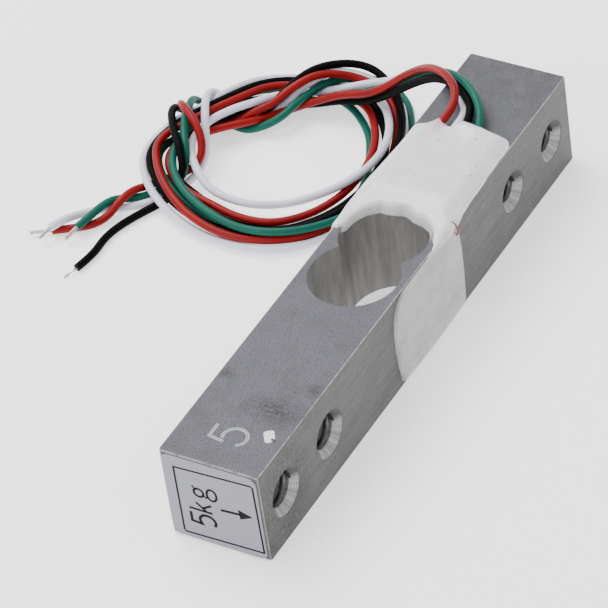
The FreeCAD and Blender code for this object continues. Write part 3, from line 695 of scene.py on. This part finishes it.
def mesh_piece(name, vertices, faces, shader, smooth=True):
    """A mesh in millimetres that rides on the body."""
    data = bpy.data.meshes.new(name)
    data.from_pydata([(x * MM, y * MM, z * MM) for x, y, z in vertices], [], faces)
    data.validate()
    data.update()
    if smooth:
        data.polygons.foreach_set("use_smooth", [True] * len(data.polygons))
    obj = bpy.data.objects.new(name, data)
    bpy.context.scene.collection.objects.link(obj)
    dress(obj, shader)
    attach(obj, "root")
    return obj


def smoothstep(t):
    t = np.clip(t, 0.0, 1.0)
    return t * t * (3 - 2 * t)


# ---------------------------------------------------------------- silicone coat

COAT_CELL = 0.15
# How far beyond its outline the coat's edge goes on down into the metal, and the radius of its
# bend over the beam's long edges.
COAT_DEPTH = 0.4
COAT_CORNER = 0.35
# The coat's lowest points stay off the floor by this much.
COAT_FLOOR = 0.05
# The coat's outline on the beam's faces unrolled: x along the beam, and v across the top, then
# down a side. The -Y side has negative v.
COAT_OUTLINE = (
    (23.5, 4.0), (24.2, 3.6), (24.4, 2.9), (23.8, 2.3), (23.3, 1.9), (23.3, 1.5), (23.9, 1.2), (25.0, 1.1),
    (25.4, 0.6), (25.0, -0.4), (24.9, -1.6), (24.5, -3.0), (24.2, -4.4), (23.8, -5.7), (23.0, -6.2),
    (18.2, -6.3), (12.3, -6.5), (10.2, -6.6), (9.15, -7.3), (9.4, -9.0), (9.5, -10.8),
    (9.45, -13.9), (9.1, -18.2), (8.3, -18.65), (0.5, -18.75), (-5.6, -18.6), (-6.4, -18.3),
    (-6.8, -15.9), (-7.0, -13.0), (-6.9, -11.0), (-6.6, -9.2), (-6.1, -7.9), (-5.2, -6.9), (-4.2, -6.5),
    (-2.0, -6.38), (1.0, -6.36), (3.2, -6.3), (4.2, -6.1), (5.0, -5.6), (5.8, -5.15), (6.9, -4.3),
    (7.5, -3.2), (7.7, -1.9), (8.2, -0.9), (8.4, -0.1), (8.1, 0.9), (7.9, 1.9), (8.0, 2.8), (7.4, 3.7),
    (6.8, 4.3), (5.6, 4.95), (4.4, 5.35), (3.3, 5.5), (2.8, 5.85), (2.7, 6.4), (0.0, 6.42),
    (-4.2, 6.5), (-5.4, 7.0),
    (-6.3, 8.1), (-6.9, 11.0), (-6.8, 15.9), (-6.4, 18.3), (-5.6, 18.6), (8.3, 18.6), (9.1, 18.2),
    (9.5, 13.9), (9.4, 9.2), (9.1, 7.3), (10.0, 6.6), (14.0, 6.3), (22.1, 6.0), (22.6, 4.9),
)
# Soft mounds of the coat: x, v, reach along x, reach along v, height.
COAT_MOUNDS = (
    (23.2, 3.1, 1.6, 0.7, 0.4), (24.0, 0.8, 1.6, 0.8, 0.4), (24.0, -0.5, 1.6, 0.9, 0.35),
    (23.2, -2.0, 1.6, 1.0, 0.35), (14.5, 0.5, 5.0, 5.6, 0.1), (6.2, -5.8, 1.6, 1.2, 0.12),
    (1.5, -12.5, 5.5, 5.0, 0.22), (5.4, -9.4, 2.4, 1.8, 0.12), (1.5, 12.5, 5.5, 5.0, 0.22),
)


def signed_distance(points, outline):
    """Distance from each point to a closed outline, positive inside it."""
    ring = np.array(outline, float)
    best = np.full(len(points), 1e9)
    inside = np.zeros(len(points), bool)
    for a, b in zip(ring, np.roll(ring, -1, axis=0)):
        run = b - a
        t = np.clip(((points - a) @ run) / (run @ run), 0, 1)
        best = np.minimum(best, np.linalg.norm(points - (a + t[:, None] * run), axis=1))
        crosses = (a[1] > points[:, 1]) != (b[1] > points[:, 1])
        where = a[0] + (points[:, 1] - a[1]) / (run[1] if run[1] else 1e-9) * run[0]
        inside ^= crosses & (points[:, 0] < where)
    return np.where(inside, best, -best)


def girth(v, lift):
    """y and z of a place at v round the beam's top and sides, lifted off the metal."""
    straight = HALF_WIDTH - COAT_CORNER
    bend = COAT_CORNER * math.pi / 2
    side = 1 if v > 0 else -1
    v = abs(v)
    edge = HALF_WIDTH - (2 - math.pi / 2) * COAT_CORNER / 2
    start = edge - bend / 2
    if v <= start:
        return side * v * straight / start, HEIGHT + lift
    if v >= start + bend:
        return side * (HALF_WIDTH + lift), HEIGHT - COAT_CORNER - (v - start - bend)
    turn = (v - start) / COAT_CORNER
    reach = COAT_CORNER + lift
    return side * (straight + reach * math.sin(turn)), HEIGHT - COAT_CORNER + reach * math.cos(turn)


def coat_lift(places, inside):
    """The coat's height over the metal: a rounded edge, a soft swelling and its mounds."""
    x, v = places.T
    edge = np.clip(inside / (0.5 + 0.9 * smoothstep((x - 21.5) / 2.0)), 0, 1)
    rounded = np.sqrt(np.clip(1 - (1 - edge) ** 2, 0, 1))
    body = 0.30 + 0.22 * smoothstep(inside / 2.5)
    over_board = smoothstep((x - 5.6) / 5.4) * smoothstep((25.6 - x) / 2.6)
    body = body + 0.85 * over_board * smoothstep((7.0 - abs(v)) / 2.2)
    for x0, v0, reach_x, reach_v, height in COAT_MOUNDS:
        far = ((x - x0) / reach_x) ** 2 + ((v - v0) / reach_v) ** 2
        body = body + height * np.exp(-far)
    wave = [noise.noise((x * 0.45, v * 0.45, 3.1)) * 0.05 + noise.noise((x * 1.1, v * 1.1, 7.7)) * 0.012
            for x, v in places]
    lift = (body + np.array(wave)) * rounded
    return np.where(inside < 0, -0.05 + 1.3 * inside, lift)


def rim_wave(x, v):
    """How far the coat's edge wanders: most round the sensing hole, little where it was wiped."""
    return 0.18 if abs(v) < 6.0 and x < 12.0 else 0.06


def make_coat():
    """One sheet over the beam's unrolled faces, cut at the outline and lifted off the metal."""
    ring = np.array(COAT_OUTLINE)
    low, high = ring.min(axis=0) - 0.8, ring.max(axis=0) + 0.8
    across = np.arange(low[0], high[0], COAT_CELL)
    round_ = np.arange(low[1], high[1], COAT_CELL)
    grid = np.array([(x, v) for x in across for v in round_])
    ripple = np.array([noise.noise((x * 0.6, v * 0.6, 0.5)) * rim_wave(x, v) for x, v in grid])
    inside = signed_distance(grid, COAT_OUTLINE) + ripple
    rows, columns = len(across), len(round_)
    field = inside.reshape(rows, columns)
    slope_x, slope_v = np.gradient(field, COAT_CELL)
    steep = np.maximum(np.hypot(slope_x, slope_v), 0.5)
    over = np.clip(-COAT_DEPTH - field, 0, COAT_CELL * 2) * (field < -COAT_DEPTH)
    places = grid.copy()
    places[:, 0] += (over * slope_x / steep ** 2).ravel()
    places[:, 1] += (over * slope_v / steep ** 2).ravel()
    inside = np.maximum(inside, -COAT_DEPTH)
    lift = coat_lift(places, inside)
    vertices = []
    for (x, v), height in zip(places, lift):
        y, z = girth(v, height)
        vertices.append((x, y, max(z, COAT_FLOOR)))
    keep = field > -COAT_DEPTH
    faces = []
    for i in range(rows - 1):
        for j in range(columns - 1):
            if keep[i:i + 2, j:j + 2].any():
                a = i * columns + j
                faces.append((a, a + columns, a + columns + 1, a + 1))
    used = sorted({k for face in faces for k in face})
    place = {k: n for n, k in enumerate(used)}
    faces = [tuple(place[k] for k in face) for face in faces]
    coat = mesh_piece("coat", [vertices[k] for k in used], faces, SILICONE)
    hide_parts("silicone_coat")


make_coat()

FINE_WIRE_RADIUS = 0.1


def make_coat_marks():
    """A fine wire's ridge under the thin coat on the side, and a fine wire that breaks out."""
    side = -HALF_WIDTH - 0.45
    loop = (
        (7.6, side, 8.4), (6.6, side, 8.7), (5.3, side, 9.0), (4.4, side, 8.8), (4.0, side, 8.1),
        (4.2, side, 7.1), (4.9, side, 6.1), (5.8, side, 5.3), (6.5, side, 4.9),
    )
    stray = (
        (8.0, -6.3, 13.2), (8.2, -6.6, 13.0), (8.35, -6.85, 12.6), (8.35, -6.95, 12.0),
        (8.4, -6.95, 11.4), (8.4, -6.7, 11.0),
    )
    for name, points, shader, slot in (
        ("coat_loop_mark", loop, SILICONE, "silicone"),
        ("stray_enamelled_wire", stray, STRAY, "enamelled_wire"),
    ):
        mark = nurbs(name, points, FINE_WIRE_RADIUS, shader, sides=3)
        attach(mark, "root")


make_coat_marks()

# ---------------------------------------------------------------- threads in the four holes

# For each end: which side of the middle it is, then its thread's tap radius, pitch and depth.
THREADS = ((-1, 2.1, 0.8, 0.2), (1, 1.65, 0.7, 0.17))
# Steps to a turn, and how many a thread takes to rise to its full depth.
THREAD_STEPS = 28
THREAD_TAPER_STEPS = 20
SINK_DEPTH = 0.95


def add_thread(vertices, faces, x, radius, pitch, depth):
    """Adds one helical ridge round a hole's wall, from one countersink's root to the other's."""
    reach = HALF_WIDTH - SINK_DEPTH
    turns = 2 * reach / pitch
    steps = int(turns * THREAD_STEPS)
    for k in range(steps + 1):
        angle = 2 * math.pi * turns * k / steps
        y = -reach + 2 * reach * k / steps
        taper = min(1.0, k / THREAD_TAPER_STEPS, (steps - k) / THREAD_TAPER_STEPS)
        root, crest = radius + 0.02, radius - depth * taper
        first = len(vertices)
        for r, along in ((root, -0.46), (crest, -0.07), (crest, 0.07), (root, 0.46)):
            across, up = r * math.cos(angle), r * math.sin(angle)
            vertices.append((x + across, y + along * pitch, HEIGHT / 2 + up))
        if k:
            for c in range(3):
                faces.append((first + c - 4, first + c, first + c + 1, first + c - 3))


def make_threads():
    """The threads of the four holes, as one piece."""
    vertices, faces = [], []
    for end, radius, pitch, depth in THREADS:
        for side in (-1, 1):
            x = end * BOLT_MIDDLE + side * BOLT_HALF_PITCH
            add_thread(vertices, faces, x, radius, pitch, depth)
    mesh_piece("hole_threads", vertices, faces, THREAD_METAL)


make_threads()

# ---------------------------------------------------------------- printed and stamped marks


def arc(centre, radii, start, end, count=18):
    """Points along an upright ellipse, from one angle to another."""
    points = []
    for i in range(count + 1):
        a = math.radians(start + (end - start) * i / count)
        points.append((centre[0] + radii[0] * math.cos(a), centre[1] + radii[1] * math.sin(a)))
    return points


def outline_of(points, width, closed=False):
    """Left and right edges of a stroke along flat points, mitred at its corners."""
    pts = [Vector(p) for p in points]
    left, right = [], []
    for i, p in enumerate(pts):
        before = pts[i - 1] if i or closed else None
        after = pts[(i + 1) % len(pts)] if i + 1 < len(pts) or closed else None
        a = (p - before).normalized() if before is not None else (after - p).normalized()
        b = (after - p).normalized() if after is not None else a
        mid = (a + b).normalized()
        normal = Vector((-mid.y, mid.x))
        reach = width / 2 / max(0.4, mid.dot(a))
        left.append(p + normal * reach)
        right.append(p - normal * reach)
    return left, right


def ribbons(name, strokes, place, thickness, shader):
    """Thin flat strokes: each is (points, width, closed), and place puts (a, b, height) in space."""
    vertices, faces = [], []
    for points, width, closed in strokes:
        left, right = outline_of(points, width, closed)
        first = len(vertices)
        for a, b in zip(left, right):
            vertices += [place(a.x, a.y, 0), place(b.x, b.y, 0)]
            vertices += [place(a.x, a.y, thickness), place(b.x, b.y, thickness)]
        count = len(left)
        for i in range(count if closed else count - 1):
            a, b = first + 4 * i, first + 4 * ((i + 1) % count)
            faces += [(a + 2, a + 3, b + 3, b + 2), (a, a + 2, b + 2, b), (a + 1, b + 1, b + 3, a + 3)]
        if not closed:
            last = first + 4 * (count - 1)
            faces += [(first, first + 1, first + 3, first + 2), (last, last + 2, last + 3, last + 1)]
    return mesh_piece(name, vertices, faces, shader, smooth=False)


LABEL_X = mm_box("end_label")[0][0]
PRINT_HEIGHT = 0.014


def on_label(y, z, height):
    return (LABEL_X - height, y, z)


def make_label_print():
    """The border, the capacity mark and the arrow that shows the load's direction."""
    border = [(4.55, 1.25), (4.55, 10.85), (-5.35, 11.35), (-5.6, 11.15), (-5.75, 1.3), (4.35, 1.0)]
    ribbons("label_border", [(border, 0.24, True)], on_label, 0.012, INK)
    five = [(3.25, 4.5), (3.25, 3.12), (1.95, 3.0)] + arc((1.15, 3.62), (1.02, 0.88), -32, 218)
    letter_k = [
        ([(3.35, 5.1), (0.35, 5.1)], 0.32, False),
        ([(2.35, 6.2), (1.1, 5.15)], 0.3, False),
        ([(1.55, 5.5), (0.35, 6.3)], 0.32, False),
    ]
    letter_g = [
        (arc((1.75, 7.85), (0.62, 0.6), 0, 342), 0.3, True),
        (arc((0.05, 8.0), (0.62, 0.85), 0, 342), 0.3, True),
        ([(1.15, 7.6), (0.85, 7.35), (0.6, 7.6)], 0.2, False),
        ([(2.15, 8.3), (2.5, 8.75)], 0.22, False),
    ]
    shaft = [(-0.85, 6.15), (-3.4, 6.35)]
    strokes = [(five, 0.38, False)] + letter_k + letter_g + [(shaft, 0.36, False)]
    ribbons("label_words", strokes, on_label, PRINT_HEIGHT, INK)
    corners = ((-3.2, 7.05), (-3.3, 5.6), (-5.0, 6.45))
    head = [on_label(y, z, height) for height in (PRINT_HEIGHT, 0) for y, z in corners]
    faces = [(0, 1, 2), (0, 3, 4, 1), (1, 4, 5, 2), (2, 5, 3, 0)]
    mesh_piece("label_arrow_head", head, faces, INK, smooth=False)


def on_top(x, y, height):
    return (x, y, HEIGHT + height)


def make_stamp():
    """A plain stamped 5: a pressed line with a bright burr along both its edges."""
    figure = [(-31.35, 2.1), (-33.35, 2.1), (-33.65, 0.2)]
    bowl = [(-33.2, 0.55), (-32.7, 0.72)] + arc((-32.55, -0.75), (1.35, 1.45), 85, -150, count=20)
    strokes = [(figure, 0.26, False), (bowl, 0.26, False)]
    ribbons("stamp_line", strokes, on_top, 0.006, STAMP_FLOOR)
    burr = []
    for points, width, closed in strokes:
        left, right = outline_of(points, width, closed)
        burr += [([tuple(p) for p in left], 0.12, False), ([tuple(p) for p in right], 0.12, False)]
    ribbons("stamp_burr", burr, on_top, 0.025, STAMP_EDGE)


make_label_print()
make_stamp()

# ---------------------------------------------------------------- bare tinned ends

# Length past the insulation, width, number of strands and turns of twist.
BARE_ENDS = {
    "red": (3.0, 0.5, 7, 1.2), "white": (2.2, 0.5, 7, 1.0),
    "green": (2.3, 0.55, 7, 1.1), "black": (2.6, 0.3, 3, 0.8),
}
STRAND_POINTS = 10
# How far inside the insulation the strands start.
STRAND_INSET = 0.3


def strand_bundle(name, start, way, length, width, strands, twist):
    """Fine strands twisted round each other past the end of a wire, off the floor."""
    way = Vector(way).normalized()
    side = way.cross(Vector((0, 0, 1))).normalized()
    lift = side.cross(way)
    made = []
    thin = width / 6
    for s in range(strands):
        radius = 0.0 if s == 0 else width / 2 - thin
        points = []
        for i in range(STRAND_POINTS):
            t = i / (STRAND_POINTS - 1)
            angle = 2 * math.pi * (s / (strands - 1) + twist * t)
            spread = radius * (1 + 0.25 * t * math.sin(3 * s))
            p = Vector(start) + way * (length * t - STRAND_INSET)
            p += side * spread * math.cos(angle) + lift * spread * math.sin(angle)
            p.z = max(p.z, thin + 0.01)
            points.append(tuple(p))
        strand = nurbs(f"{name}_{s}", points, thin, TIN, sides=2)
        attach(strand, "root")
        made.append(strand)
    return made


def make_bare_end(colour, length, width, strands, twist):
    """A wire's bare end: it goes on in the tail's way, and droops where the tail ends in the air."""
    end, before = Vector(ROUTES[colour][-1]), Vector(ROUTES[colour][-2])
    way = end - before
    way.z = 0 if colour == "black" else -0.25 * way.length * (end.z > 1)
    bundle = strand_bundle("strand_" + colour, end, way, length, width, strands, twist)
    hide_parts("bare_end_" + colour)
    return bundle


BARE = {colour: make_bare_end(colour, *sizes) for colour, sizes in BARE_ENDS.items()}

for colour, wire in CORDS.items():
    length = spline_length(ROUTES[colour]) * MM

# ---------------------------------------------------------------- floor and light

# The floor's half width, and how far it lies under the beam, in metres.
FLOOR_REACH = 3.0
FLOOR_DROP = 0.00002
# Where both lights point, on the object's middle.
LIGHT_TARGET = (0, 0.01, 0)


def make_floor():
    s = Shader("pale_floor", (0.93, 0.93, 0.93), 0.9)
    s.bsdf.inputs["Emission Color"].default_value = (1, 1, 1, 1)
    s.bsdf.inputs["Emission Strength"].default_value = 0.9
    s.bsdf.inputs["Specular IOR Level"].default_value = 0.1
    mesh = bpy.data.meshes.new("floor")
    corners = [(x * FLOOR_REACH, y * FLOOR_REACH, 0) for x, y in ((-1, -1), (1, -1), (1, 1), (-1, 1))]
    mesh.from_pydata(corners, [], [(0, 1, 2, 3)])
    floor = bpy.data.objects.new("floor", mesh)
    floor.location = (0, 0, -FLOOR_DROP)
    bpy.context.scene.collection.objects.link(floor)
    dress(floor, s)


def make_light(name, place, size, power, color):
    """A soft square light that points at the object."""
    data = bpy.data.lights.new(name, "AREA")
    data.shape = "RECTANGLE"
    data.size, data.size_y = size
    data.energy = power
    data.color = color
    light = bpy.data.objects.new(name, data)
    light.location = place
    way = Vector(LIGHT_TARGET) - Vector(place)
    light.rotation_euler = way.to_track_quat("-Z", "Y").to_euler()
    bpy.context.scene.collection.objects.link(light)


def make_world():
    world = bpy.data.worlds.new("studio")
    world.use_nodes = True
    back = world.node_tree.nodes["Background"]
    back.inputs["Color"].default_value = (1.0, 1.0, 1.0, 1)
    back.inputs["Strength"].default_value = 1.0
    bpy.context.scene.world = world


make_floor()
make_world()
make_light("key", (0.15, 0.35, 0.6), (0.5, 0.5), 6.0, (1.0, 1.0, 1.0))
make_light("fill", (-0.6, 0.2, 0.4), (0.5, 0.4), 2.0, (0.96, 0.97, 1.0))
